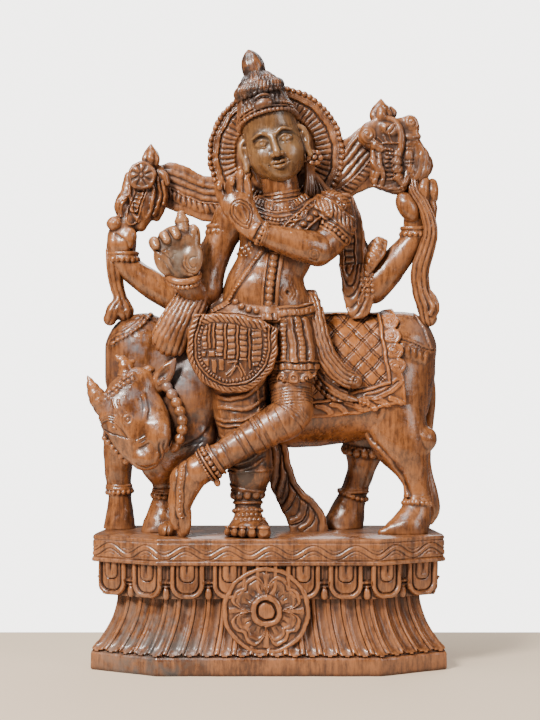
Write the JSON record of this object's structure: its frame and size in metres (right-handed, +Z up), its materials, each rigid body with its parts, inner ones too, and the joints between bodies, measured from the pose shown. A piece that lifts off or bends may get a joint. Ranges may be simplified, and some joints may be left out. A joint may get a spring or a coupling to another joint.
{
  "type": "hindu deity statue",
  "caption": "Carved wooden deity with extra arms in a flute-playing pose, without the flute, before a cow on a lotus plinth; ringed halo behind the head.",
  "frame": {"origin": "centre of the footprint on the surface the statue stands on", "axes": "+Z up, -Y is the front that the deity faces, +X is the viewer's right, so the cow's head is at -X"},
  "size_m": [0.3535, 0.127, 0.6096],
  "materials": {
    "plinth_wood": "oiled, satin, darkened in the cuts, blue-black stain at the lower left",
    "animal_wood": "polished satin, worn pale on the flank, stained dark on the neck and brow",
    "figure_wood": "polished satin, grey-brown patina on the face and hands",
    "dress_wood": "oiled satin with dark cuts between the beads and pleats"
  },
  "bodies": {
    "root": {"plinth_slab": "plinth_wood", "petal_flare": "plinth_wood", "lappet_frieze": "plinth_wood", "stage_slab": "plinth_wood", "rosette": "plinth_wood", "cow_body": "animal_wood", "cow_neck": "animal_wood", "cow_head": "animal_wood", "cow_horns": "animal_wood", "cow_ear": "animal_wood", "cow_tail": "animal_wood", "fore_leg_far": "animal_wood", "fore_leg_near": "animal_wood", "hind_leg_near": "animal_wood", "hind_leg_far": "animal_wood", "saddle_cloth": "dress_wood", "bell_collar": "dress_wood", "torso": "figure_wood", "neck": "figure_wood", "head": "figure_wood", "crown": "dress_wood", "halo": "dress_wood", "earrings": "dress_wood", "right_wing_drape": "dress_wood", "left_wing_drape": "dress_wood", "right_upper_arm": "figure_wood", "right_forearm": "figure_wood", "right_hand": "figure_wood", "left_upper_arm": "figure_wood", "left_forearm": "figure_wood", "left_hand": "figure_wood", "rear_right_upper_arm": "figure_wood", "rear_right_forearm": "figure_wood", "rear_right_hand": "dress_wood", "discus": "dress_wood", "rear_left_upper_arm": "figure_wood", "rear_left_forearm": "figure_wood", "rear_left_hand": "dress_wood", "conch": "dress_wood", "right_ribbon": "dress_wood", "left_ribbon": "dress_wood", "chest_garland": "dress_wood", "belt": "dress_wood", "apron": "dress_wood", "skirt": "dress_wood", "crossed_thigh": "dress_wood", "crossed_shin": "figure_wood", "crossed_foot": "figure_wood", "standing_leg": "dress_wood", "standing_foot": "figure_wood", "arm_drapery": "dress_wood", "hip_sash": "dress_wood", "shoulder_sash": "dress_wood", "back_sash_tail": "dress_wood"}
  },
  "joints": []
}
